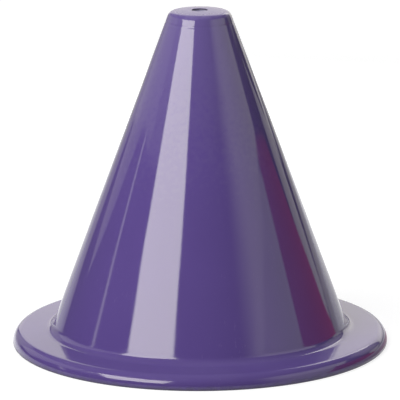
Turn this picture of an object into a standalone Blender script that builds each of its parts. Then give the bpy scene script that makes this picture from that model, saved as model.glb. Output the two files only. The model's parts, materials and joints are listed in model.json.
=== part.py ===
"""Training cone: a glossy soft-vinyl cone on a round, weighted base.

Three turned pieces share one upright axis. The cone body drops through the base flange from
below: its foot is necked so that the flange's collar lies flush with the side, and its
out-turned lip lies under the flange's skin. The ballast ring fills the channel under the
flange, holds the lip up and carries the weight low down.

Lengths are in metres, +Z is up, and the origin is on the ground at the middle of the base.
"""

import math

import bpy
from mathutils import Vector

# Overall
HEIGHT = 0.1524
SEAT_GAP = 0.0003

# Cone body: its two corner radii are where the straight side would meet the flat faces
TOP_CORNER_RADIUS = 0.0135
FOOT_CORNER_RADIUS = 0.0668
TOP_EDGE_ROUNDING = 0.0025
TOP_INNER_ROUNDING = 0.0006
HOLE_RADIUS = 0.0035
HOLE_EDGE_ROUNDING = 0.0004
BODY_WALL = 0.0025
LIP_REACH = 0.0055
LIP_THICKNESS = 0.0016
LIP_EDGE_ROUNDING = 0.0003

# Base flange: its reach runs from the foot corner to the outside of the rim
FLANGE_REACH = 0.0180
FLANGE_SKIN = 0.0030
FOOT_FILLET = 0.0055
COLLAR_LAND = 0.0005
COLLAR_EDGE = 0.0008
RIM_WALL = 0.0034
RIM_TOP_ROUNDING = 0.0038
RIM_FOOT_ROUNDING = 0.0008
RIM_INNER_ROUNDING = 0.0004

# Ballast ring: its shelf is the part that lies under the body's lip
BALLAST_SHELF = 0.00205
BALLAST_EDGE_ROUNDING = 0.0005

# How finely round things are cut: steps round the axis, and how far a flat may lie off its arc
TURN_STEPS = 72
ARC_TOLERANCE = 0.00003

# Finishes: colour as red, green, blue and alpha, and roughness
CONE_PURPLE = (0.105, 0.063, 0.305, 1.0)
BASE_PURPLE = (0.105, 0.063, 0.305, 1.0)
BALLAST_GREY = (0.020, 0.020, 0.022, 1.0)
CONE_ROUGHNESS = 0.16
BASE_ROUGHNESS = 0.18
BALLAST_ROUGHNESS = 0.75

# Levels of the foot, from the ground up
LIP_BOTTOM = BALLAST_SHELF + SEAT_GAP
LIP_TOP = LIP_BOTTOM + LIP_THICKNESS
CHANNEL_ROOF = LIP_TOP + SEAT_GAP
FLANGE_TOP = CHANNEL_ROOF + FLANGE_SKIN

# The straight side
SIDE_SLOPE = (FOOT_CORNER_RADIUS - TOP_CORNER_RADIUS) / (HEIGHT - FLANGE_TOP)
SIDE_ANGLE = math.atan(SIDE_SLOPE)

# The flange's collar ends on the side, one short land above its fillet
FILLET_REACH = FOOT_FILLET * math.tan((math.pi / 2 - SIDE_ANGLE) / 2)
COLLAR_TOP = FLANGE_TOP + (FILLET_REACH + COLLAR_LAND) * math.cos(SIDE_ANGLE)


def side_radius(height, depth=0.0):
    """Radius at a height on the cone that lies a given depth under the outer side."""
    outer = TOP_CORNER_RADIUS + (HEIGHT - height) * SIDE_SLOPE
    return outer - depth / math.cos(SIDE_ANGLE)


# Radii of the foot, from the axis out
BASE_BORE = side_radius(LIP_BOTTOM, BODY_WALL)
LIP_RADIUS = side_radius(LIP_TOP, COLLAR_EDGE) + LIP_REACH
BASE_RADIUS = FOOT_CORNER_RADIUS + FLANGE_REACH
CHANNEL_RADIUS = BASE_RADIUS - RIM_WALL


def corner_arc(before, corner, after, rounding):
    """Points of the arc that rounds one corner of an outline."""
    to_before = (before - corner).normalized()
    to_after = (after - corner).normalized()
    opening = to_before.angle(to_after)
    reach = rounding / math.tan(opening / 2)
    middle = (to_before + to_after).normalized()
    centre = corner + middle * (rounding / math.sin(opening / 2))
    start = corner + to_before * reach - centre
    end = corner + to_after * reach - centre
    turn = math.copysign(math.pi - opening, start.cross(end))
    widest_step = 2 * math.acos(max(0.0, 1 - ARC_TOLERANCE / rounding))
    steps = max(2, math.ceil(abs(turn) / widest_step))
    arc = []
    for step in range(steps + 1):
        cosine = math.cos(turn * step / steps)
        sine = math.sin(turn * step / steps)
        turned = Vector((start.x * cosine - start.y * sine, start.x * sine + start.y * cosine))
        arc.append(centre + turned)
    return arc


def rounded_outline(corners):
    """Closed outline through (radius, height, rounding) corners, with its corners rounded."""
    places = [Vector((radius, height)) for radius, height, _ in corners]
    roundings = [rounding for _, _, rounding in corners]
    outline = []
    for index, place in enumerate(places):
        if roundings[index] > 0:
            after = places[(index + 1) % len(places)]
            outline.extend(corner_arc(places[index - 1], place, after, roundings[index]))
        else:
            outline.append(place)
    return outline


def body_outline():
    """Half section of the cone body: down the outer side, round the lip and up the inside."""
    step_height = COLLAR_TOP + SEAT_GAP
    neck_depth = COLLAR_EDGE + SEAT_GAP
    inner_top = HEIGHT - BODY_WALL
    return rounded_outline([
        (HOLE_RADIUS, HEIGHT, HOLE_EDGE_ROUNDING),
        (TOP_CORNER_RADIUS, HEIGHT, TOP_EDGE_ROUNDING),
        (side_radius(step_height), step_height, 0.0),
        (side_radius(step_height, neck_depth), step_height, 0.0),
        (side_radius(LIP_TOP, neck_depth), LIP_TOP, 0.0),
        (LIP_RADIUS, LIP_TOP, LIP_EDGE_ROUNDING),
        (LIP_RADIUS, LIP_BOTTOM, LIP_EDGE_ROUNDING),
        (BASE_BORE, LIP_BOTTOM, LIP_EDGE_ROUNDING),
        (side_radius(inner_top, BODY_WALL), inner_top, TOP_INNER_ROUNDING),
        (HOLE_RADIUS, inner_top, HOLE_EDGE_ROUNDING),
    ])


def flange_outline():
    """Half section of the base flange: collar, fillet, flat top, rim and the open channel."""
    return rounded_outline([
        (side_radius(COLLAR_TOP), COLLAR_TOP, 0.0),
        (FOOT_CORNER_RADIUS, FLANGE_TOP, FOOT_FILLET),
        (BASE_RADIUS, FLANGE_TOP, RIM_TOP_ROUNDING),
        (BASE_RADIUS, 0.0, RIM_FOOT_ROUNDING),
        (CHANNEL_RADIUS, 0.0, RIM_INNER_ROUNDING),
        (CHANNEL_RADIUS, CHANNEL_ROOF, 0.0),
        (side_radius(CHANNEL_ROOF, COLLAR_EDGE), CHANNEL_ROOF, 0.0),
        (side_radius(COLLAR_TOP, COLLAR_EDGE), COLLAR_TOP, 0.0),
    ])


def ballast_outline():
    """Half section of the ballast ring: a tall outer part and a low shelf under the lip."""
    outer = CHANNEL_RADIUS - SEAT_GAP
    step = LIP_RADIUS + SEAT_GAP
    return rounded_outline([
        (step, LIP_TOP, 0.0),
        (outer, LIP_TOP, 0.0),
        (outer, 0.0, BALLAST_EDGE_ROUNDING),
        (BASE_BORE, 0.0, BALLAST_EDGE_ROUNDING),
        (BASE_BORE, BALLAST_SHELF, BALLAST_EDGE_ROUNDING),
        (step, BALLAST_SHELF, 0.0),
    ])


def finish(name, color, roughness):
    """Plain Principled material of one piece."""
    material = bpy.data.materials.new(name)
    material.use_nodes = True
    shader = material.node_tree.nodes["Principled BSDF"]
    shader.inputs["Base Color"].default_value = color
    shader.inputs["Roughness"].default_value = roughness
    shader.inputs["Metallic"].default_value = 0.0
    material.diffuse_color = color
    return material


def turned_piece(name, outline, material, collection):
    """Turns a closed half section round the upright axis into one solid object."""
    count = len(outline)
    mesh = bpy.data.meshes.new(name)
    points = [(point.x, 0.0, point.y) for point in outline]
    edges = [(index, (index + 1) % count) for index in range(count)]
    mesh.from_pydata(points, edges, [])
    mesh.materials.append(material)
    piece = bpy.data.objects.new(name, mesh)
    collection.objects.link(piece)
    screw = piece.modifiers.new("turn", "SCREW")
    screw.axis = "Z"
    screw.angle = 2 * math.pi
    screw.steps = TURN_STEPS
    screw.render_steps = TURN_STEPS
    screw.use_merge_vertices = True
    screw.merge_threshold = SEAT_GAP / 10
    screw.use_smooth_shade = True
    return piece


def clear_scene():
    """Removes every object that is in the scene already."""
    for item in list(bpy.data.objects):
        bpy.data.objects.remove(item, do_unlink=True)


def main():
    clear_scene()
    parts = bpy.data.collections.new("training_cone")
    bpy.context.scene.collection.children.link(parts)
    cone_vinyl = finish("cone_vinyl", CONE_PURPLE, CONE_ROUGHNESS)
    base_vinyl = finish("base_vinyl", BASE_PURPLE, BASE_ROUGHNESS)
    rubber = finish("ballast_rubber", BALLAST_GREY, BALLAST_ROUGHNESS)
    turned_piece("cone_body", body_outline(), cone_vinyl, parts)
    turned_piece("base_flange", flange_outline(), base_vinyl, parts)
    turned_piece("ballast_ring", ballast_outline(), rubber, parts)


main()
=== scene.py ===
"""Training cone in a plain studio.

Looks of a glossy soft-vinyl training cone on its round, weighted base. Three turned pieces are
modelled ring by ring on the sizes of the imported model: the cone body, the base flange with its
fillet and rim, and the ballast ring in the flange's channel. Lengths are in metres, +Z is up,
the ground is at zero and the camera looks along +Y.
"""

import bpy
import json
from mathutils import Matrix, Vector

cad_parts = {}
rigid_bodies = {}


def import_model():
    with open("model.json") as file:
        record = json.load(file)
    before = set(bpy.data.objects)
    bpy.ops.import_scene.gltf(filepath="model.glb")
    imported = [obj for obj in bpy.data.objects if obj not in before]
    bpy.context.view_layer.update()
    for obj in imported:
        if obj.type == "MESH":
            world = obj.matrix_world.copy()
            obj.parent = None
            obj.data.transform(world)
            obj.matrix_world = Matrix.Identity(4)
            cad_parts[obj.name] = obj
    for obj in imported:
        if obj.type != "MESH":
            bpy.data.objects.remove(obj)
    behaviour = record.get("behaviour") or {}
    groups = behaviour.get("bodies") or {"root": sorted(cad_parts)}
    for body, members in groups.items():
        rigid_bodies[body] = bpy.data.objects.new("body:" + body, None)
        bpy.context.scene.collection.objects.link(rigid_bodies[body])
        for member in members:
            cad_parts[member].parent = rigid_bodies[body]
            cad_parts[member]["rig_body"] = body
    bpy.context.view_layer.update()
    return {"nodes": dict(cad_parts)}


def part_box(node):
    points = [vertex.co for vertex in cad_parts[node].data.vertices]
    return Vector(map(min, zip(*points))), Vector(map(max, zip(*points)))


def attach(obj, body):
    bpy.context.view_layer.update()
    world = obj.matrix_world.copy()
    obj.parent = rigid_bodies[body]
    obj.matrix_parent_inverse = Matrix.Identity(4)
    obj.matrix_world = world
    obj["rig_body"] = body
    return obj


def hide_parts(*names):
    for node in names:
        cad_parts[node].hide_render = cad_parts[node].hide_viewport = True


bl_info = {
    "name": "Training Cone",
    "version": (1, 0, 0),
    "blender": (4, 5, 0),
    "location": "View3D > Sidebar > Training Cone",
    "description": "Models a glossy vinyl training cone and the studio it stands in",
    "category": "Add Mesh",
}

import json
import math

import bmesh
import bpy
from bpy.props import FloatProperty, FloatVectorProperty, IntProperty, PointerProperty
from mathutils import Matrix, Vector

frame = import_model()

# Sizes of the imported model
BODY_LOW, BODY_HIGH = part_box("cone_body")
_, FLANGE_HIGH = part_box("base_flange")
_, BALLAST_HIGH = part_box("ballast_ring")
HEIGHT = BODY_HIGH.z
LIP_RADIUS = BODY_HIGH.x
LIP_BOTTOM = BODY_LOW.z
LIP_TOP = BALLAST_HIGH.z
COLLAR_TOP = FLANGE_HIGH.z
BASE_RADIUS = FLANGE_HIGH.x
BALLAST_RADIUS = BALLAST_HIGH.x
BODY = frame["nodes"]["cone_body"]["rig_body"]

# How finely a piece is turned
ARC_STEP = math.radians(6)
LEAST_ARC_STEPS = 3
SUPPORT = 0.00025
LONG_STRETCH = 4 * SUPPORT
MERGE = 0.00001
SMOOTH_ANGLE = math.radians(30)

# Steps in which the top sinks, and the share of its reach that they cover
CROWN_STEPS = 12
CROWNED_SHARE = 0.8

# Shares of the height between which the lean sets in
LEAN_START = 0.2
LEAN_END = 0.7

# Refraction of vinyl and rubber
IOR = 1.5

# Sockets of the shader node groups that hold something else than a plain number
SOCKET_KINDS = {"Vector": "NodeSocketVector", "Colour": "NodeSocketColor"}

# Colours of the stage
WHITE = (1.0, 1.0, 1.0, 1.0)
CARD_WHITE = (1.0, 0.98, 0.88, 1.0)
RED_CARD = (1.0, 0.12, 0.16, 1.0)
# Painted shade: the floor in the cone's shadow by the rim, as the gloss mirrors it.
SHADED_FLOOR_ROSE = (1.0, 0.74, 0.80, 1.0)
FLOOR_GREY = (0.3, 0.3, 0.3, 1.0)

# Floor, and the dark tent that the gloss mirrors
FLOOR_SIDE = 12.0
FLOOR_ROUGHNESS = 0.9
TENT_RADIUS = 2.0
TENT_HEIGHT = 1.4
TENT_SIDES = 72
TENT_GLOW = 0.1

# Shares of the lip's radius between which the light under the hollow cone ends
HOLLOW_START = 0.8
HOLLOW_END = 0.85

# Share of a card's side over which an edge that isn't soft still fades
HARD_EDGE = 0.001

# Cards of the softbox: name, lower edge, upper edge, and what differs from a plain white card
SOFTBOX_CARDS = (
    ("softbox", ((-58.5, 0.378), (-20.5, 0.378)), ((-75.6, 0.78), (-16.7, 0.78)),
     {"soft": (0.06, 0.06, 0.10), "distances": (1.17, 0.94)}),
    ("softbox_wing", ((-82, 0.62), (-66, 0.60)), ((-82, 0.80), (-73, 0.80)),
     {"soft": (0.5, 0.0, 0.1)}),
)

# Cards for the pale and coloured things of the room that the gloss mirrors, and one for the floor in
# shade: name, lower edge, upper edge, glow, and what differs from a plain white card
CARDS = (
    ("backdrop_card", ((141.2, 0.09), (199, 0.05)), ((160.4, 1.2), (199, 1.2)), 1.25,
     {"distances": (1.15, 1.15)}),
    ("bright_half_card", ((143.4, 0.16), (180, 0.16)), ((158, 1.02), (180, 1.02)), 1.65,
     {"soft": (0, 0.6, 0), "distances": (0.98, 0.98)}),
    ("back_light_card", ((149.5, 0.46), (168, 0.46)), ((157, 0.86), (168, 0.86)), 4.5,
     {"soft": (0.1, 0.3, 0.1), "distances": (0.95, 0.95)}),
    ("cloth_card", ((162, 0.002), (198, 0.002)), ((170, 0.002), (190, 0.002)), 0.06,
     {"distances": (0.26, 0.64)}),
    ("right_back_card", ((119, 0.31), (140.2, 0.22)), ((119, 0.7), (150.2, 0.7)), 0.55, {}),
    ("left_back_card", ((-158, 0.0), (-139, 0.0)), ((-158, 0.5), (-141, 0.5)), 0.55, {}),
    ("left_sill_card", ((-165, 0.0), (-131, 0.0)), ((-165, 0.07), (-131, 0.012)), 0.6, {}),
    ("fill_card", ((30, 0.0), (80, 0.0)), ((31, 0.365), (90, 0.365)), 1.1, {"soft": (0.5, 0, 0)}),
    ("high_fill_card", ((31, 0.30), (100, 0.355)), ((31, 0.78), (112, 0.60)), 1.45,
     {"soft": (0.36, 0.05, 0)}),
    ("red_card", ((78, 0.0), (130.5, 0.0)), ((90.5, 0.386), (115.6, 0.258)), 0.64,
     {"colour": RED_CARD}),
    ("right_band_card", ((119, 0.049), (132, 0.049)), ((126, 0.27), (141, 0.12)), 0.85, {}),
    ("right_sill_card", ((127, 0.0), (165, 0.0)), ((127, 0.041), (165, 0.06)), 0.6, {}),
    # Painted shade: a dim rose card for the floor in the cone's shadow, right of the rim.
    ("rose_floor_card", ((45, 0.0015), (110, 0.0015)), ((45, 0.0015), (110, 0.0015)), 0.52,
     {"colour": SHADED_FLOOR_ROSE, "soft": (0.3, 0.3, 0.6), "distances": (0.087, 0.135)}),
    ("thin_card", ((-90.2, 0.115), (-84.7, 0.115)), ((-97.6, 0.40), (-92.4, 0.40)), 2.1,
     {"soft": (0.45, 0.45, 0.1)}),
    ("wedge_card", ((-123.6, 0.112), (-122.6, 0.112)), ((-139, 0.180), (-104, 0.345)), 0.7, {}),
    ("left_wall_card", ((-139, 0.14), (-83, 0.41)), ((-139, 0.5), (-83, 0.8)), 0.9, {}),
    ("front_wall_card", ((-83, 0.41), (-63.5, 0.465)), ((-83, 0.8), (-68, 0.8)), 0.5, {}),
)


# Settings


class BodySizes(bpy.types.PropertyGroup):
    """Sizes of the cone body."""

    top_radius: FloatProperty(
        name="Top Radius",
        description="Radius where the straight side would meet the level of the top",
        default=0.01334,
        unit="LENGTH",
    )
    foot_radius: FloatProperty(
        name="Foot Radius",
        description="Radius where the straight side would meet the flange",
        default=0.06708,
        unit="LENGTH",
    )
    top_rounding: FloatProperty(
        name="Top Rounding",
        description="Radius of the rounded edge between the side and the top",
        default=0.0031,
        unit="LENGTH",
    )
    crown: FloatProperty(
        name="Crown",
        description="How far the top sinks from its hole out to its edge",
        default=0.0008,
        unit="LENGTH",
    )
    wall: FloatProperty(
        name="Wall",
        description="Thickness of the vinyl wall",
        default=0.0025,
        unit="LENGTH",
    )
    hole_radius: FloatProperty(
        name="Hole Radius",
        description="Radius of the hole in the middle of the top",
        default=0.0035,
        unit="LENGTH",
    )
    hole_rounding: FloatProperty(
        name="Hole Rounding",
        description="Radius of the hole's rounded edges",
        default=0.0004,
        unit="LENGTH",
    )
    lip_rounding: FloatProperty(
        name="Lip Rounding",
        description="Radius of the rounded edges of the hidden lip",
        default=0.0003,
        unit="LENGTH",
    )
    ring_drop: FloatProperty(
        name="Ring Drop",
        description="How far under the top the faint ring of the mould lies",
        default=0.0053,
        unit="LENGTH",
    )
    ring_width: FloatProperty(
        name="Ring Width",
        description="Width of the faint ring of the mould",
        default=0.0011,
        unit="LENGTH",
    )
    ring_depth: FloatProperty(
        name="Ring Depth",
        description="Depth of the faint ring of the mould",
        default=0.00012,
        unit="LENGTH",
    )
    lean: FloatProperty(
        name="Lean",
        description="How far the upper half of the soft wall has sagged to the right",
        default=0.00026,
        unit="LENGTH",
    )
    side_cuts: IntProperty(
        name="Side Cuts",
        description="Rings cut into the straight side",
        default=70,
    )
    waviness: FloatProperty(
        name="Waviness",
        description="How far the soft wall strays from a true cone",
        default=0.00022,
        unit="LENGTH",
    )
    wave_length: FloatProperty(
        name="Wave Length",
        description="Size of the slow waves in the soft wall",
        default=0.045,
        unit="LENGTH",
    )


class FlangeSizes(bpy.types.PropertyGroup):
    """Sizes of the base flange."""

    top: FloatProperty(
        name="Flange Top",
        description="Height of the flange's flat top at the foot of the cone",
        default=0.0069,
        unit="LENGTH",
    )
    droop: FloatProperty(
        name="Droop",
        description="How far the flat top sinks on its way out to the rim",
        default=0.0004,
        unit="LENGTH",
    )
    skin: FloatProperty(
        name="Skin",
        description="Thickness of the flange over its channel",
        default=0.00265,
        unit="LENGTH",
    )
    fillet: FloatProperty(
        name="Foot Fillet",
        description="Radius of the hollow fillet between the side and the flange",
        default=0.0046,
        unit="LENGTH",
    )
    collar_edge: FloatProperty(
        name="Collar Edge",
        description="Thickness of the collar that lies flush in the side",
        default=0.0008,
        unit="LENGTH",
    )
    rim_wall: FloatProperty(
        name="Rim Wall",
        description="Thickness of the rim outside the channel",
        default=0.0034,
        unit="LENGTH",
    )
    rim_inset: FloatProperty(
        name="Rim Inset",
        description="How far inside the rim its rounded top edge starts",
        default=0.0044,
        unit="LENGTH",
    )
    rim_drop: FloatProperty(
        name="Rim Drop",
        description="How far the rim's rounded top edge reaches down",
        default=0.0055,
        unit="LENGTH",
    )
    rim_foot_rounding: FloatProperty(
        name="Rim Foot Rounding",
        description="Radius of the rim's rounded lower edge",
        default=0.0008,
        unit="LENGTH",
    )
    channel_rounding: FloatProperty(
        name="Channel Rounding",
        description="Radius of the rim's rounded inner edge",
        default=0.0004,
        unit="LENGTH",
    )


class BallastSizes(bpy.types.PropertyGroup):
    """Sizes of the ballast ring."""

    shelf: FloatProperty(
        name="Shelf",
        description="Thickness of the ring under the body's lip",
        default=0.00205,
        unit="LENGTH",
    )
    rounding: FloatProperty(
        name="Rounding",
        description="Radius of the ring's rounded lower edges",
        default=0.0005,
        unit="LENGTH",
    )
    seat_gap: FloatProperty(
        name="Seat Gap",
        description="Play between the ring and the pieces that it meets",
        default=0.0003,
        unit="LENGTH",
    )


class Finish(bpy.types.PropertyGroup):
    """Colours and surfaces."""

    purple: FloatVectorProperty(
        name="Purple",
        description="Colour of the vinyl",
        subtype="COLOR",
        size=4,
        default=(0.112, 0.069, 0.272, 1.0),
    )
    rub_colour: FloatVectorProperty(
        name="Rub Colour",
        description="Colour of rubbed and worn vinyl",
        subtype="COLOR",
        size=4,
        default=(0.250, 0.200, 0.420, 1.0),
    )
    dust_colour: FloatVectorProperty(
        name="Dust Colour",
        description="Colour of settled dust",
        subtype="COLOR",
        size=4,
        default=(0.400, 0.410, 0.400, 1.0),
    )
    # Painted shade: the dark top band in the hole's wall and the dark line along the base's foot.
    painted_shade: FloatVectorProperty(
        name="Painted Shade",
        description="Colour of the grime in the top hole",
        subtype="COLOR",
        size=4,
        default=(0.050, 0.042, 0.075, 1.0),
    )
    # Painted light: the paler lower part of the hole's wall, lit from inside the cone.
    hole_light: FloatVectorProperty(
        name="Hole Light",
        description="Colour of the hole's cut wall",
        subtype="COLOR",
        size=4,
        default=(0.300, 0.280, 0.400, 1.0),
    )
    rubber: FloatVectorProperty(
        name="Rubber",
        description="Colour of the ballast ring",
        subtype="COLOR",
        size=4,
        default=(0.022, 0.022, 0.024, 1.0),
    )
    gloss_roughness: FloatProperty(
        name="Gloss Roughness",
        description="Roughness of the polished skin of the cone",
        subtype="FACTOR",
        default=0.06,
    )
    base_roughness: FloatProperty(
        name="Base Roughness",
        description="Roughness of the polished skin of the base",
        subtype="FACTOR",
        default=0.09,
    )
    inside_roughness: FloatProperty(
        name="Inside Roughness",
        description="Roughness of the dull inner skin",
        subtype="FACTOR",
        default=0.46,
    )
    rubber_roughness: FloatProperty(
        name="Rubber Roughness",
        description="Roughness of the ballast ring",
        subtype="FACTOR",
        default=0.78,
    )
    turn_sides: IntProperty(
        name="Turn Sides",
        description="Flats round each turned piece",
        default=256,
    )


class StageSettings(bpy.types.PropertyGroup):
    """Camera, lamps, cards and floor."""

    camera_distance: FloatProperty(
        name="Camera Distance",
        description="How far the camera stands in front of the axis",
        default=1.6737,
        unit="LENGTH",
    )
    camera_height: FloatProperty(
        name="Camera Height",
        description="How high the camera stands above the ground",
        default=0.4546,
        unit="LENGTH",
    )
    camera_side: FloatProperty(
        name="Camera Side",
        description="How far the camera stands to the right of the axis",
        default=0.00018,
        unit="LENGTH",
    )
    camera_tilt: FloatProperty(
        name="Camera Tilt",
        description="How far the camera looks down",
        default=0.22848,
        unit="ROTATION",
    )
    camera_roll: FloatProperty(
        name="Camera Roll",
        description="How far the camera leans",
        default=-0.00347,
        unit="ROTATION",
    )
    lens: FloatProperty(
        name="Lens",
        description="Focal length in millimetres",
        default=343.3,
    )
    softbox_glow: FloatProperty(
        name="Softbox Glow",
        description="Brightness of the softbox in the gloss, where 1 is white",
        default=8.8,
    )
    key_light: FloatProperty(
        name="Key Light",
        description="Light of the key lamp on what faces it, where 1 shows a colour as written",
        default=0.92,
    )
    key_azimuth: FloatProperty(
        name="Key Azimuth",
        description="Side that the key lamp stands on, in degrees from the front to the right",
        default=-40.0,
    )
    key_elevation: FloatProperty(
        name="Key Elevation",
        description="How high the key lamp stands over the middle of the cone",
        default=math.radians(45),
        unit="ROTATION",
    )
    back_light: FloatProperty(
        name="Back Light",
        description="Light of the back lamp on what faces it, where 1 shows a colour as written",
        default=0.7,
    )
    back_azimuth: FloatProperty(
        name="Back Azimuth",
        description="Side that the back lamp stands on, in degrees from the front to the right",
        default=168.0,
    )
    back_elevation: FloatProperty(
        name="Back Elevation",
        description="How high the back lamp stands over the middle of the cone",
        default=math.radians(20),
        unit="ROTATION",
    )
    lamp_distance: FloatProperty(
        name="Lamp Distance",
        description="Distance of the lamps from the middle of the cone",
        default=0.6,
        unit="LENGTH",
    )
    lamp_size: FloatProperty(
        name="Lamp Size",
        description="Side of the square lamps",
        default=0.4,
        unit="LENGTH",
    )
    ambient: FloatProperty(
        name="Ambient",
        description="Even light from all round",
        default=0.24,
    )
    floor_glow: FloatProperty(
        name="Floor Glow",
        description="What lifts the floor by the cone to white in the picture",
        default=0.78,
    )
    hollow_glow: FloatProperty(
        name="Hollow Glow",
        description="Light of the floor under the hollow cone, which only the inner wall sees",
        default=0.9,
    )
    near_gloss: FloatProperty(
        name="Near Floor In Gloss",
        description="What lifts the floor by the rim where the gloss mirrors it",
        default=1.0,
    )
    far_gloss: FloatProperty(
        name="Far Floor In Gloss",
        description="What lifts the floor farther away where the gloss mirrors it",
        default=0.55,
    )


class TrainingConeSettings(bpy.types.PropertyGroup):
    """All settings of the training cone and its studio."""

    body: PointerProperty(type=BodySizes, name="Body")
    flange: PointerProperty(type=FlangeSizes, name="Flange")
    ballast: PointerProperty(type=BallastSizes, name="Ballast")
    finish: PointerProperty(type=Finish, name="Finish")
    stage: PointerProperty(type=StageSettings, name="Stage")


# Half sections


def smooth_step(value, start, end):
    """Rises softly from 0 at start to 1 at end."""
    share = min(1.0, max(0.0, (value - start) / (end - start)))
    return share * share * (3 - 2 * share)


def side_slope(settings):
    """How much the side's radius grows for each metre down."""
    reach = settings.body.foot_radius - settings.body.top_radius
    return reach / (HEIGHT - settings.flange.top)


def side_radius(settings, height, depth=0.0):
    """Radius at a height on the cone that lies a given depth under the outer side."""
    slope = side_slope(settings)
    return settings.body.top_radius + (HEIGHT - height) * slope - depth * math.hypot(1, slope)


def corner_arc(before, corner, after, rounding):
    """Points of the arc that rounds one corner of a half section."""
    to_before = (before - corner).normalized()
    to_after = (after - corner).normalized()
    opening = to_before.angle(to_after)
    reach = rounding / math.tan(opening / 2)
    centre = corner + (to_before + to_after).normalized() * (rounding / math.sin(opening / 2))
    start = corner + to_before * reach - centre
    end = corner + to_after * reach - centre
    turn = math.copysign(math.pi - opening, start.cross(end))
    steps = max(LEAST_ARC_STEPS, math.ceil(abs(turn) / ARC_STEP))
    return [centre + Matrix.Rotation(turn * step / steps, 2) @ start for step in range(steps + 1)]


def half_section(corners):
    """Closed outline through (radius, height, rounding) corners, with its corners rounded and a
    support ring a little inside both ends of each long straight stretch."""
    places = [Vector((radius, height)) for radius, height, _ in corners]
    rounded = []
    for index, place in enumerate(places):
        rounding = corners[index][2]
        after = places[(index + 1) % len(places)]
        rounded.extend(corner_arc(places[index - 1], place, after, rounding) if rounding else [place])
    outline = []
    for index, point in enumerate(rounded):
        outline.append(point)
        stretch = rounded[(index + 1) % len(rounded)] - point
        if stretch.length > LONG_STRETCH:
            inset = stretch.normalized() * SUPPORT
            outline.extend([point + inset, point + stretch - inset])
    return outline


def crowned_top(settings):
    """Corners of the top, which sinks a little more with each step from its hole to its edge."""
    body = settings.body
    edge = HEIGHT - body.crown
    reach = side_radius(settings, edge) - body.hole_radius
    corners = [(body.hole_radius, HEIGHT, body.hole_rounding)]
    for step in range(1, CROWN_STEPS + 1):
        share = CROWNED_SHARE * step / CROWN_STEPS
        corners.append((body.hole_radius + reach * share, HEIGHT - body.crown * share ** 2, 0))
    return [*corners, (body.hole_radius + reach, edge, body.top_rounding)]


def body_section(settings):
    """Half section of the cone body: down the outer side, round the lip and up the inside."""
    body = settings.body
    neck = settings.flange.collar_edge + settings.ballast.seat_gap
    seam = COLLAR_TOP + MERGE
    bore = side_radius(settings, LIP_BOTTOM, body.wall)
    ceiling = HEIGHT - body.wall
    ring = HEIGHT - body.ring_drop
    return half_section([
        *crowned_top(settings),
        (side_radius(settings, ring + body.ring_width / 2), ring + body.ring_width / 2, 0),
        (side_radius(settings, ring, body.ring_depth), ring, 0),
        (side_radius(settings, ring - body.ring_width / 2), ring - body.ring_width / 2, 0),
        (side_radius(settings, seam), seam, 0),
        (side_radius(settings, seam, neck), seam, 0),
        (side_radius(settings, LIP_TOP, neck), LIP_TOP, 0),
        (LIP_RADIUS, LIP_TOP, body.lip_rounding),
        (LIP_RADIUS, LIP_BOTTOM, body.lip_rounding),
        (bore, LIP_BOTTOM, body.lip_rounding),
        (side_radius(settings, ceiling, body.wall), ceiling, body.hole_rounding),
        (body.hole_radius, ceiling, body.hole_rounding),
    ])


def rim_edge(flange):
    """Corners of the rim's top edge, a quarter of an ellipse from the flat top to the wall."""
    steps = math.ceil(math.pi / 2 / ARC_STEP)
    level = flange.top - flange.droop
    corners = []
    for step in range(steps + 1):
        angle = math.pi / 2 * (1 - step / steps)
        radius = BASE_RADIUS - flange.rim_inset * (1 - math.cos(angle))
        corners.append((radius, level - flange.rim_drop * (1 - math.sin(angle)), 0))
    return corners


def flange_section(settings):
    """Half section of the base flange: collar, fillet, flat top, rim and the open channel."""
    flange = settings.flange
    roof = flange.top - flange.skin
    channel = BASE_RADIUS - flange.rim_wall
    return half_section([
        (side_radius(settings, COLLAR_TOP), COLLAR_TOP, 0),
        (settings.body.foot_radius, flange.top, flange.fillet),
        *rim_edge(flange),
        (BASE_RADIUS, 0, flange.rim_foot_rounding),
        (channel, 0, flange.channel_rounding),
        (channel, roof, 0),
        (side_radius(settings, roof, flange.collar_edge), roof, 0),
        (side_radius(settings, COLLAR_TOP, flange.collar_edge), COLLAR_TOP, 0),
    ])


def ballast_section(settings):
    """Half section of the ballast ring: a tall outer part and a low shelf under the lip."""
    ballast = settings.ballast
    bore = side_radius(settings, LIP_BOTTOM, settings.body.wall)
    step = LIP_RADIUS + ballast.seat_gap
    return half_section([
        (step, LIP_TOP, ballast.rounding / 2),
        (BALLAST_RADIUS, LIP_TOP, ballast.rounding / 2),
        (BALLAST_RADIUS, 0, ballast.rounding),
        (bore, 0, ballast.rounding),
        (bore, ballast.shelf, ballast.rounding),
        (step, ballast.shelf, 0),
    ])


# Modelling


def add_primitive(name, add, **values):
    """Adds a primitive under a name, with nothing else selected."""
    bpy.ops.object.select_all(action="DESELECT")
    add(**values)
    item = bpy.context.active_object
    item.name = name
    return item


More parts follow.
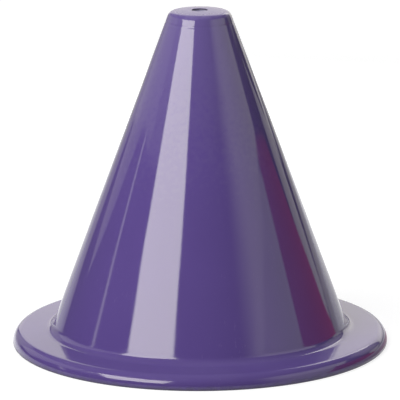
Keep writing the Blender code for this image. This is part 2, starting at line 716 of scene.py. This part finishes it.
def turned_piece(name, section, sides, materials):
    """Models a turned piece: a circle pulled along its half section, ring by ring, and closed."""
    size = {"vertices": sides, "radius": section[0].x}
    place = (0, 0, section[0].y)
    piece = add_primitive(name, bpy.ops.mesh.primitive_circle_add, location=place, **size)
    piece.data.name = name
    bpy.ops.object.transform_apply(location=True, rotation=True, scale=True)
    bpy.ops.object.mode_set(mode="EDIT")
    bpy.ops.mesh.select_mode(type="EDGE")
    bpy.ops.mesh.select_all(action="SELECT")
    for here, there in zip(section, section[1:] + section[:1]):
        bpy.ops.mesh.extrude_edges_move(TRANSFORM_OT_translate={"value": (0, 0, there.y - here.y)})
        growth = there.x / here.x
        bpy.ops.transform.resize(value=(growth, growth, 1), center_override=(0, 0, 0))
    bpy.ops.mesh.select_all(action="SELECT")
    bpy.ops.mesh.remove_doubles(threshold=MERGE / 2)
    bpy.ops.mesh.normals_make_consistent(inside=False)
    bpy.ops.object.mode_set(mode="OBJECT")
    for material in materials:
        piece.data.materials.append(material)
    return piece


def select_in_edit_mode(piece, kind, wanted):
    """Selects the edges or faces of a piece that a test picks by their place."""
    bpy.ops.object.mode_set(mode="EDIT")
    bpy.ops.mesh.select_mode(type="EDGE" if kind == "edges" else "FACE")
    bpy.ops.mesh.select_all(action="DESELECT")
    mesh = bmesh.from_edit_mesh(piece.data)
    for item in getattr(mesh, kind):
        if wanted(item):
            item.select_set(True)
    bmesh.update_edit_mesh(piece.data)


def cut_side(piece, settings):
    """Cuts rings into the long straight side, so that it can be waved."""
    longest = (HEIGHT - COLLAR_TOP) / 2
    select_in_edit_mode(piece, "edges", lambda edge: edge.calc_length() > longest)
    bpy.ops.mesh.subdivide(number_cuts=settings.body.side_cuts)
    bpy.ops.object.mode_set(mode="OBJECT")


def displace(piece, name, weight_at, strength, direction, texture=None):
    """Moves the points of a piece, as much as the weight at each point says, along their normals
    or an axis. A texture moves them both ways, by what its brightness is over or under a half."""
    group = piece.vertex_groups.new(name=name)
    for vertex in piece.data.vertices:
        group.add([vertex.index], weight_at(vertex.co), "REPLACE")
    modifier = piece.modifiers.new(name, "DISPLACE")
    modifier.direction = direction
    modifier.strength = strength
    modifier.mid_level = 0.5 if texture else 0.0
    modifier.texture = texture
    modifier.texture_coords = "LOCAL"
    modifier.vertex_group = name
    bpy.ops.object.modifier_apply(modifier=name)
    piece.vertex_groups.remove(piece.vertex_groups[name])


def soften_wall(piece, settings):
    """Gives the outer skin of the side its slow waves, and the upper half of the wall its lean."""
    body = settings.body

    def side_weight(place):
        depth = side_radius(settings, place.z) - place.xy.length
        if depth > body.wall / 2 or place.z < COLLAR_TOP + SUPPORT:
            return 0.0
        over_foot = smooth_step(place.z, COLLAR_TOP, COLLAR_TOP + body.wave_length)
        return over_foot * smooth_step(HEIGHT - place.z, body.top_rounding, body.wave_length)

    def lean_weight(place):
        return smooth_step(place.z, LEAN_START * HEIGHT, LEAN_END * HEIGHT)

    clouds = bpy.data.textures.new("soft_wall", "CLOUDS")
    clouds.noise_scale = body.wave_length
    clouds.noise_depth = 0
    displace(piece, "soft_wall", side_weight, body.waviness, "NORMAL", clouds)
    displace(piece, "lean", lean_weight, body.lean, "X")


def assign_inner_finishes(piece, settings):
    """Gives the inner wall and the wall of the top hole their own materials."""
    body = settings.body

    def is_inside(face):
        centre = face.calc_center_median()
        depth = side_radius(settings, centre.z) - centre.xy.length
        return depth > body.wall / 2 and centre.z < HEIGHT - body.wall / 2

    def is_hole(face):
        centre = face.calc_center_median()
        reach = body.hole_radius + body.hole_rounding / 3
        return centre.xy.length < reach and centre.z > HEIGHT - body.wall

    for index, wanted in ((1, is_inside), (2, is_hole)):
        select_in_edit_mode(piece, "faces", wanted)
        piece.active_material_index = index
        bpy.ops.object.material_slot_assign()
        bpy.ops.object.mode_set(mode="OBJECT")


def finish_piece(piece, replaced):
    """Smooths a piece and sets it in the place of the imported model's."""
    bpy.ops.object.shade_smooth_by_angle(angle=SMOOTH_ANGLE)
    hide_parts(replaced)
    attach(piece, BODY)


# Shader node groups


def node(tree, kind, inputs, **values):
    """Adds a node, sets its own values and fills its inputs with values or links."""
    made = tree.nodes.new(kind)
    for name, value in values.items():
        setattr(made, name, value)
    for name, value in inputs.items():
        if isinstance(value, bpy.types.NodeSocket):
            tree.links.new(value, made.inputs[name])
        else:
            made.inputs[name].default_value = value
    return made


def calculate(tree, operation, first, second=0.0):
    """Output of a Math node on two values or links."""
    return node(tree, "ShaderNodeMath", {0: first, 1: second}, operation=operation).outputs[0]


def remap(tree, value, from_low, from_high, to_low=0.0, to_high=1.0):
    """Output of a Map Range node that eases between its ends."""
    ends = {"From Min": from_low, "From Max": from_high, "To Min": to_low, "To Max": to_high}
    made = node(tree, "ShaderNodeMapRange", {"Value": value, **ends}, interpolation_type="SMOOTHSTEP")
    return made.outputs[0]


def noise(tree, vector, scale, detail=2.0):
    """Output of a Noise Texture node."""
    inputs = {"Vector": vector, "Scale": scale, "Detail": detail}
    return node(tree, "ShaderNodeTexNoise", inputs).outputs[0]


def product(tree, first, second, third):
    """Output of two Math nodes that multiply three values or links."""
    return calculate(tree, "MULTIPLY", calculate(tree, "MULTIPLY", first, second), third)


def colour_drift(group, given):
    """Slow change of brightness over a moulded surface."""
    slow = noise(group, given["Vector"], given["Scale"])
    swing = calculate(group, "MULTIPLY", calculate(group, "SUBTRACT", slow, 0.5), given["Drift"])
    value = calculate(group, "ADD", swing, 1.0)
    shifted = node(group, "ShaderNodeHueSaturation", {"Value": value, "Color": given["Colour"]})
    return shifted.outputs["Color"]


def moulded_skin(group, given):
    """Height of a moulded skin in metres: a fine peel over slower flow marks."""
    peel = noise(group, given["Vector"], given["Peel Scale"], 1.0)
    flow = noise(group, given["Vector"], given["Flow Scale"], 0.0)
    peel_height = calculate(group, "MULTIPLY", peel, given["Peel Depth"])
    flow_height = calculate(group, "MULTIPLY", flow, given["Flow Depth"])
    return calculate(group, "ADD", peel_height, flow_height)


def fine_scuffs(group, given):
    """Mask of short, thin rub marks in loose patches."""
    stretch = (1.0, 1.0, 0.07)
    marks = None
    for turn in (0.4, 1.7):
        inputs = {"Vector": given["Vector"], "Rotation": (0.3, turn, turn * 2), "Scale": stretch}
        turned = node(group, "ShaderNodeMapping", inputs).outputs[0]
        streak = remap(group, noise(group, turned, given["Scale"]), 0.66, 0.74)
        marks = streak if marks is None else calculate(group, "MAXIMUM", marks, streak)
    patch_scale = calculate(group, "MULTIPLY", given["Scale"], 0.05)
    patches = remap(group, noise(group, given["Vector"], patch_scale), 0.52, 0.68)
    return product(group, marks, patches, given["Amount"])


def settled_dust(group, given):
    """Mask of fine specks and a thin film on what faces up."""
    speck_scale = 2600.0
    film_scale = 45.0
    specks = remap(group, noise(group, given["Vector"], speck_scale, 0.0), 0.74, 0.80)
    film = remap(group, noise(group, given["Vector"], film_scale, 3.0), 0.30, 0.75, 0.55, 1.0)
    facing = remap(group, given["Upward"], 0.25, 0.95, 0.08, 1.0)
    both = calculate(group, "MAXIMUM", specks, film)
    return product(group, both, facing, given["Amount"])


def edge_wear_and_shade(group, given):
    """Mask that fades away from an edge and breaks up along it."""
    break_scale = 420.0
    rough = noise(group, given["Vector"], break_scale, 3.0)
    uneven = calculate(group, "MULTIPLY", given["Reach"], calculate(group, "MULTIPLY", rough, 2.0))
    near = calculate(group, "SUBTRACT", 1.0, calculate(group, "DIVIDE", given["Distance"], uneven))
    return calculate(group, "MULTIPLY", remap(group, near, 0.0, 1.0), given["Amount"])


# Shared node groups: what fills each one, its inputs and its output
SKIN_INPUTS = ("Vector", "Peel Scale", "Peel Depth", "Flow Scale", "Flow Depth")
GROUPS = {
    "Colour Drift": (colour_drift, ("Vector", "Colour", "Scale", "Drift"), "Colour"),
    "Moulded Skin": (moulded_skin, SKIN_INPUTS, "Height"),
    "Fine Scuffs": (fine_scuffs, ("Vector", "Scale", "Amount"), "Mask"),
    "Settled Dust": (settled_dust, ("Vector", "Upward", "Amount"), "Mask"),
    "Worn Edge": (edge_wear_and_shade, ("Vector", "Distance", "Reach", "Amount"), "Mask"),
}


def shared_group(name):
    """One of the shared node groups, built when it is first asked for. Its sockets hold plain
    numbers unless SOCKET_KINDS names another kind."""
    group = bpy.data.node_groups.get(name)
    if group:
        return group
    fill, inputs, output = GROUPS[name]
    group = bpy.data.node_groups.new(name, "ShaderNodeTree")
    for socket, in_out in [(socket, "INPUT") for socket in inputs] + [(output, "OUTPUT")]:
        kind = SOCKET_KINDS.get(socket, "NodeSocketFloat")
        group.interface.new_socket(name=socket, in_out=in_out, socket_type=kind)
    given = group.nodes.new("NodeGroupInput").outputs
    result = group.nodes.new("NodeGroupOutput").inputs
    group.links.new(fill(group, given), result[output])
    return group


def effect(tree, name, coordinates, values):
    """Output of a shared node group placed in a material with its own values."""
    inputs = {"Vector": coordinates, **values}
    return node(tree, "ShaderNodeGroup", inputs, node_tree=shared_group(name)).outputs[0]


# Materials


def new_material(name):
    """New material with its tree and the Principled shader that it starts with."""
    material = bpy.data.materials.new(name)
    material.use_nodes = True
    tree = material.node_tree
    return material, tree, tree.nodes["Principled BSDF"]


def start_material(name, roughness):
    """New material of a piece with its tree, its shader and its object coordinates."""
    material, tree, shader = new_material(name)
    shader.inputs["Roughness"].default_value = roughness
    shader.inputs["IOR"].default_value = IOR
    coordinates = tree.nodes.new("ShaderNodeTexCoord").outputs["Object"]
    return material, tree, shader, coordinates


def blend_colour(tree, mask, lower, upper):
    """Colour that goes from lower to upper as the mask rises."""
    return node(tree, "ShaderNodeMix", {0: mask, 6: lower, 7: upper}, data_type="RGBA").outputs[2]


def upward(tree):
    """How far the surface faces up, from -1 to 1."""
    normal = tree.nodes.new("ShaderNodeNewGeometry").outputs["Normal"]
    return node(tree, "ShaderNodeSeparateXYZ", {0: normal}).outputs["Z"]


def distance_from_level(tree, coordinates, level):
    """How far the surface lies above or below a level, in metres."""
    height = node(tree, "ShaderNodeSeparateXYZ", {0: coordinates}).outputs["Z"]
    return calculate(tree, "ABSOLUTE", calculate(tree, "SUBTRACT", height, level))


def drifting_colour(tree, coordinates, colour, scale, drift):
    """A colour that grows a little lighter here and darker there."""
    values = {"Colour": colour, "Scale": scale, "Drift": drift}
    return effect(tree, "Colour Drift", coordinates, values)


def scuff_marks(tree, coordinates, scale, amount):
    """Mask of the rub marks."""
    return effect(tree, "Fine Scuffs", coordinates, {"Scale": scale, "Amount": amount})


def wear_and_shade_near(tree, coordinates, level, reach, amount):
    """Mask of a band within reach of a level, such as worn vinyl, dust or painted shade."""
    distance = distance_from_level(tree, coordinates, level)
    values = {"Distance": distance, "Reach": reach, "Amount": amount}
    return effect(tree, "Worn Edge", coordinates, values)


def clouded_roughness(tree, coordinates, roughness, scale, low, high):
    """Roughness that drifts in slow clouds between a low and a high share of its own value."""
    clouds = remap(tree, noise(tree, coordinates, scale, 3.0), 0.3, 0.7, low, high)
    return calculate(tree, "MULTIPLY", clouds, roughness)


def skin_height(tree, coordinates, peel, flow):
    """Height of a moulded skin, whose peel and flow marks are given as a scale and a depth each."""
    values = {"Peel Scale": peel[0], "Peel Depth": peel[1], "Flow Scale": flow[0], "Flow Depth": flow[1]}
    return effect(tree, "Moulded Skin", coordinates, values)


def set_bump(tree, shader, height, distance=1.0):
    """Lets a height shade the surface without moving it."""
    bump = node(tree, "ShaderNodeBump", {"Height": height, "Distance": distance, "Strength": 1.0})
    tree.links.new(bump.outputs["Normal"], shader.inputs["Normal"])


def gloss_vinyl(name, finish, roughness, edge, wear_and_shade_colour):
    """Polished purple vinyl with faint flow marks, rub marks, dust and an edge band in a colour of its
    own, whose place is given by its level, reach and amount: worn vinyl at the top of the cone, painted
    shade along the foot of the base."""
    material, tree, shader, coordinates = start_material(name, roughness)
    rub_roughness = 0.5
    dust_roughness = 0.1
    scratch_depth = 0.000004
    colour = drifting_colour(tree, coordinates, finish.purple, scale=38.0, drift=0.10)
    scuffs = scuff_marks(tree, coordinates, scale=900.0, amount=0.14)
    # The edge band: worn vinyl at the top of the cone, painted shade along the foot of the base.
    worn = wear_and_shade_near(tree, coordinates, **edge)
    settled = effect(tree, "Settled Dust", coordinates, {"Upward": upward(tree), "Amount": 0.06})
    handled = wear_and_shade_near(tree, coordinates, level=HEIGHT, reach=0.09, amount=0.07)
    dust = calculate(tree, "MAXIMUM", settled, handled)
    colour = blend_colour(tree, scuffs, colour, finish.rub_colour)
    colour = blend_colour(tree, worn, colour, wear_and_shade_colour)
    colour = blend_colour(tree, dust, colour, finish.dust_colour)
    tree.links.new(colour, shader.inputs["Base Color"])
    polish = clouded_roughness(tree, coordinates, roughness, scale=70.0, low=0.85, high=1.25)
    rubbed = calculate(tree, "MAXIMUM", scuffs, worn)
    dulled_by_rubs = calculate(tree, "MULTIPLY", rubbed, rub_roughness)
    dulled_by_dust = calculate(tree, "MULTIPLY", dust, dust_roughness)
    dulled = calculate(tree, "ADD", dulled_by_rubs, dulled_by_dust)
    tree.links.new(calculate(tree, "ADD", polish, dulled), shader.inputs["Roughness"])
    skin = skin_height(tree, coordinates, peel=(520.0, 0.0000016), flow=(55.0, 0.00002))
    scratches = calculate(tree, "MULTIPLY", scuffs, scratch_depth)
    set_bump(tree, shader, calculate(tree, "SUBTRACT", skin, scratches))
    return material


def dull_vinyl(name, finish):
    """Unpolished purple vinyl of the inside, with a coarser skin."""
    material, tree, shader, coordinates = start_material(name, finish.inside_roughness)
    colour = drifting_colour(tree, coordinates, finish.purple, scale=60.0, drift=0.24)
    scuffs = scuff_marks(tree, coordinates, scale=500.0, amount=0.5)
    tree.links.new(blend_colour(tree, scuffs, colour, finish.rub_colour), shader.inputs["Base Color"])
    dullness = finish.inside_roughness
    roughness = clouded_roughness(tree, coordinates, dullness, scale=120.0, low=0.85, high=1.15)
    tree.links.new(roughness, shader.inputs["Roughness"])
    skin = skin_height(tree, coordinates, peel=(900.0, 0.00002), flow=(90.0, 0.00012))
    set_bump(tree, shader, skin)
    return material


def hole_wall(name, finish, body):
    """Cut wall of the top hole: painted shade near the top, and paler painted light below, where the
    light comes from inside.
    """
    material, tree, shader, coordinates = start_material(name, finish.inside_roughness)
    shaded_down_to = body.hole_rounding * 1.2
    lit_from = body.hole_rounding * 1.8
    # Painted shade down to a little under the top, painted light below it.
    depth = distance_from_level(tree, coordinates, HEIGHT)
    lit_below = remap(tree, depth, shaded_down_to, lit_from)
    painted_shade = drifting_colour(tree, coordinates, finish.painted_shade, scale=400.0, drift=0.5)
    tree.links.new(blend_colour(tree, lit_below, painted_shade, finish.hole_light), shader.inputs["Base Color"])
    set_bump(tree, shader, noise(tree, coordinates, scale=1800.0), distance=0.00005)
    return material


def ballast_rubber(name, finish):
    """Dense black rubber with a grainy skin and rubbed, dusty patches."""
    material, tree, shader, coordinates = start_material(name, finish.rubber_roughness)
    colour = drifting_colour(tree, coordinates, finish.rubber, scale=120.0, drift=0.6)
    scuffs = scuff_marks(tree, coordinates, scale=700.0, amount=0.35)
    patches = noise(tree, coordinates, scale=240.0, detail=4.0)
    dust = remap(tree, patches, 0.50, 0.78, 0.0, 0.20)
    mask = calculate(tree, "MAXIMUM", scuffs, dust)
    tree.links.new(blend_colour(tree, mask, colour, finish.dust_colour), shader.inputs["Base Color"])
    skin = skin_height(tree, coordinates, peel=(2200.0, 0.00006), flow=(180.0, 0.00010))
    set_bump(tree, shader, skin)
    return material


# Stage


def hide_from_all_but_gloss(item):
    """Lets a card show only in reflections."""
    for ray in ("camera", "diffuse", "transmission", "volume_scatter", "shadow"):
        setattr(item, "visible_" + ray, False)


def around(azimuth, distance, height):
    """Place at an azimuth in degrees from the front to the right, a distance from the axis and a
    height."""
    angle = math.radians(azimuth)
    return Vector((distance * math.sin(angle), -distance * math.cos(angle), height))


def card_material(name, colour, strength, soft):
    """Glow of a card, which fades to nothing towards its left, right and top edges."""
    material, tree, shader = new_material(name)
    tree.nodes.remove(shader)
    spot = tree.nodes.new("ShaderNodeTexCoord").outputs["UV"]
    spread = node(tree, "ShaderNodeSeparateXYZ", {0: spot})
    left, right, top = (max(share, HARD_EDGE) for share in soft)
    from_left = remap(tree, spread.outputs["X"], 0.0, left)
    from_right = remap(tree, spread.outputs["X"], 1.0 - right, 1.0, 1.0, 0.0)
    from_top = remap(tree, spread.outputs["Y"], 1.0 - top, 1.0, 1.0, 0.0)
    mask = product(tree, from_left, from_right, from_top)
    clear = tree.nodes.new("ShaderNodeBsdfTransparent")
    glow = node(tree, "ShaderNodeEmission", {"Color": colour, "Strength": strength})
    mix = node(tree, "ShaderNodeMixShader", {0: mask, 1: clear.outputs[0], 2: glow.outputs[0]})
    tree.links.new(mix.outputs[0], tree.nodes["Material Output"].inputs["Surface"])
    return material


def add_card(name, lower, upper, strength, colour=CARD_WHITE, soft=(0, 0, 0), distances=(1.0, 1.0)):
    """Adds a glowing card that shows only in the gloss. Its lower and upper edges are given as
    the azimuth and height of their left and right ends, with a distance from the axis for each
    edge, and soft gives the shares of its left side, right side and top that fade away."""
    card = add_primitive(name, bpy.ops.mesh.primitive_plane_add, size=1)
    for vertex in card.data.vertices:
        edge, distance = (upper, distances[1]) if vertex.co.y > 0 else (lower, distances[0])
        azimuth, height = edge[1] if vertex.co.x > 0 else edge[0]
        vertex.co = around(azimuth, distance, height)
    card.data.materials.append(card_material(name, colour, strength, soft))
    hide_from_all_but_gloss(card)


def add_camera(stage):
    """Adds the camera at the photograph's viewing angle."""
    camera = bpy.data.objects.new("camera", bpy.data.cameras.new("camera"))
    bpy.context.scene.collection.objects.link(camera)
    camera.data.lens = stage.lens
    place = Matrix.Translation((stage.camera_side, -stage.camera_distance, stage.camera_height))
    tilt = Matrix.Rotation(math.pi / 2 - stage.camera_tilt, 4, "X")
    roll = Matrix.Rotation(stage.camera_roll, 4, "Z")
    camera.matrix_world = place @ tilt @ roll
    bpy.context.scene.camera = camera


def add_lamp(stage, name, light, azimuth, elevation):
    """Adds a soft lamp that faces the cone. It lights without showing in the gloss, and its power
    is the one that gives what faces it the asked light at its distance."""
    lamp = bpy.data.lights.new(name, "AREA")
    lamp.shape = "SQUARE"
    lamp.size = stage.lamp_size
    lamp.energy = light * (math.pi * stage.lamp_distance) ** 2
    item = bpy.data.objects.new(name, lamp)
    bpy.context.scene.collection.objects.link(item)
    target = Vector((0, 0, HEIGHT / 2))
    reach = math.cos(elevation) * stage.lamp_distance
    rise = math.sin(elevation) * stage.lamp_distance
    place = target + around(azimuth, reach, rise)
    aim = (target - place).to_track_quat("-Z", "Y").to_matrix().to_4x4()
    item.matrix_world = Matrix.Translation(place) @ aim
    item.visible_camera = False
    item.visible_glossy = False


def add_lights(stage):
    """Adds the softbox, high at the front left: cards for the gloss and a soft lamp for the light,
    and a second soft lamp for the back."""
    for name, lower, upper, other in SOFTBOX_CARDS:
        add_card(name, lower, upper, stage.softbox_glow, **other)
    add_lamp(stage, "key_lamp", stage.key_light, stage.key_azimuth, stage.key_elevation)
    add_lamp(stage, "back_lamp", stage.back_light, stage.back_azimuth, stage.back_elevation)


def add_world(stage):
    """White for the camera and in reflections, and a low even light on everything."""
    world = bpy.data.worlds.new("studio")
    bpy.context.scene.world = world
    world.use_nodes = True
    tree = world.node_tree
    rays = tree.nodes.new("ShaderNodeLightPath").outputs
    seen = calculate(tree, "MAXIMUM", rays["Is Camera Ray"], rays["Is Glossy Ray"])
    seen = calculate(tree, "MAXIMUM", seen, rays["Is Transmission Ray"])
    strength = remap(tree, seen, 0.0, 1.0, stage.ambient, 1.0)
    background = tree.nodes["Background"]
    background.inputs["Color"].default_value = WHITE
    tree.links.new(strength, background.inputs["Strength"])


def floor_glow(tree, stage):
    """Strength with which the floor glows: for the camera it reads white, the gloss mirrors it more
    softly farther away, and the inner wall of the cone is lit from the ground inside it."""
    place = tree.nodes.new("ShaderNodeTexCoord").outputs["Object"]
    distance = node(tree, "ShaderNodeVectorMath", {0: place}, operation="LENGTH").outputs["Value"]
    white_from = stage.lamp_distance * 2
    hollow_from, hollow_to = LIP_RADIUS * HOLLOW_START, LIP_RADIUS * HOLLOW_END
    glows = {
        "Is Camera Ray": (BASE_RADIUS, white_from, stage.floor_glow, 1.0),
        "Is Glossy Ray": (BASE_RADIUS, BASE_RADIUS * 2, stage.near_gloss, stage.far_gloss),
        "Is Diffuse Ray": (hollow_from, hollow_to, stage.hollow_glow, 0.0),
    }
    rays = tree.nodes.new("ShaderNodeLightPath").outputs
    camera, gloss, hollow = (
        calculate(tree, "MULTIPLY", rays[ray], remap(tree, distance, *ends))
        for ray, ends in glows.items()
    )
    return calculate(tree, "ADD", calculate(tree, "ADD", camera, gloss), hollow)


def add_floor(stage):
    """Adds the pale floor, which reads white and keeps the shadow. It is clear from below."""
    floor = add_primitive("floor", bpy.ops.mesh.primitive_plane_add, size=FLOOR_SIDE)
    material, tree, shader = new_material("floor")
    shader.inputs["Base Color"].default_value = FLOOR_GREY
    shader.inputs["Roughness"].default_value = FLOOR_ROUGHNESS
    shader.inputs["Specular IOR Level"].default_value = 0.0
    shader.inputs["Emission Color"].default_value = WHITE
    tree.links.new(floor_glow(tree, stage), shader.inputs["Emission Strength"])
    under = tree.nodes.new("ShaderNodeNewGeometry").outputs["Backfacing"]
    clear = tree.nodes.new("ShaderNodeBsdfTransparent")
    mix = node(tree, "ShaderNodeMixShader", {0: under, 1: shader.outputs[0], 2: clear.outputs[0]})
    tree.links.new(mix.outputs[0], tree.nodes["Material Output"].inputs["Surface"])
    floor.data.materials.append(material)


def add_dark_tent():
    """Adds dark cloth all round and overhead, seen only in the gloss."""
    size = {"vertices": TENT_SIDES, "radius": TENT_RADIUS, "depth": TENT_HEIGHT}
    place = (0, 0, TENT_HEIGHT / 2)
    tent = add_primitive("dark_tent", bpy.ops.mesh.primitive_cylinder_add, location=place, **size)
    select_in_edit_mode(tent, "faces", lambda face: face.normal.z < -0.5)
    bpy.ops.mesh.delete(type="FACE")
    bpy.ops.object.mode_set(mode="OBJECT")
    tent.data.materials.append(card_material("dark_tent", WHITE, TENT_GLOW, (0, 0, 0)))
    hide_from_all_but_gloss(tent)


def add_cards():
    """Adds the cards for the pale and coloured things of the room, and the one for the floor in shade.
    """
    for name, lower, upper, strength, other in CARDS:
        add_card(name, lower, upper, strength, **other)


# Operators


class AddConeBody(bpy.types.Operator):
    """Model the hollow cone body with its top hole and its hidden lip"""

    bl_idname = "training_cone.add_body"
    bl_label = "Cone Body"

    def execute(self, context):
        settings = context.scene.training_cone
        finish = settings.finish
        worn_top = {"level": HEIGHT, "reach": 0.0022, "amount": 0.45}
        materials = [
            gloss_vinyl("cone_vinyl", finish, finish.gloss_roughness, worn_top, finish.rub_colour),
            dull_vinyl("cone_vinyl_inside", finish),
            hole_wall("cone_hole_wall", finish, settings.body),
        ]
        piece = turned_piece("cone_body_skin", body_section(settings), finish.turn_sides, materials)
        cut_side(piece, settings)
        assign_inner_finishes(piece, settings)
        soften_wall(piece, settings)
        finish_piece(piece, "cone_body")
        return {"FINISHED"}


class AddBaseFlange(bpy.types.Operator):
    """Model the base flange with its collar, foot fillet and rounded rim"""

    bl_idname = "training_cone.add_flange"
    bl_label = "Base Flange"

    def execute(self, context):
        settings = context.scene.training_cone
        finish = settings.finish
        # Painted shade: a dark line along the foot of the rim, where the floor shades it.
        shaded_foot = {"level": 0.0, "reach": 0.0022, "amount": 0.8}
        skin = gloss_vinyl("base_vinyl", finish, finish.base_roughness, shaded_foot, finish.painted_shade)
        piece = turned_piece("base_flange_skin", flange_section(settings), finish.turn_sides, [skin])
        finish_piece(piece, "base_flange")
        return {"FINISHED"}


class AddBallastRing(bpy.types.Operator):
    """Model the ballast ring that closes the channel under the flange"""

    bl_idname = "training_cone.add_ballast"
    bl_label = "Ballast Ring"

    def execute(self, context):
        settings = context.scene.training_cone
        finish = settings.finish
        rubber = ballast_rubber("ballast_rubber", finish)
        piece = turned_piece("ballast_ring_skin", ballast_section(settings), finish.turn_sides, [rubber])
        finish_piece(piece, "ballast_ring")
        return {"FINISHED"}


class AddStage(bpy.types.Operator):
    """Set up the camera, the lamps, the floor and the cards that the gloss mirrors"""

    bl_idname = "training_cone.add_stage"
    bl_label = "Studio Stage"

    def execute(self, context):
        stage = context.scene.training_cone.stage
        context.scene.view_settings.view_transform = "Standard"
        add_camera(stage)
        add_lights(stage)
        add_world(stage)
        add_floor(stage)
        add_dark_tent()
        add_cards()
        return {"FINISHED"}


class TrainingConePanel(bpy.types.Panel):
    """Sidebar panel with the pieces and their settings."""

    bl_idname = "VIEW3D_PT_training_cone"
    bl_label = "Training Cone"
    bl_space_type = "VIEW_3D"
    bl_region_type = "UI"
    bl_category = "Training Cone"

    def draw(self, context):
        """Draws a box for each operator with its settings, and one for the finish."""
        settings = context.scene.training_cone
        for operator, group in (
            (AddConeBody, settings.body),
            (AddBaseFlange, settings.flange),
            (AddBallastRing, settings.ballast),
            (AddStage, settings.stage),
            (None, settings.finish),
        ):
            box = self.layout.box()
            if operator:
                box.operator(operator.bl_idname)
            else:
                box.label(text="Finish")
            for name in group.bl_rna.properties.keys():
                if name not in {"rna_type", "name"}:
                    box.prop(group, name)


CLASSES = (
    BodySizes,
    FlangeSizes,
    BallastSizes,
    Finish,
    StageSettings,
    TrainingConeSettings,
    AddConeBody,
    AddBaseFlange,
    AddBallastRing,
    AddStage,
    TrainingConePanel,
)


def register():
    """Makes the classes and the settings known to Blender."""
    for item in CLASSES:
        bpy.utils.register_class(item)
    bpy.types.Scene.training_cone = PointerProperty(type=TrainingConeSettings)


def unregister():
    """Takes the settings and the classes out again."""
    del bpy.types.Scene.training_cone
    for item in reversed(CLASSES):
        bpy.utils.unregister_class(item)


def main():
    """Builds the stage and the three pieces."""
    register()
    bpy.ops.training_cone.add_stage()
    bpy.ops.training_cone.add_body()
    bpy.ops.training_cone.add_flange()
    bpy.ops.training_cone.add_ballast()


if __name__ == "__main__":
    main()
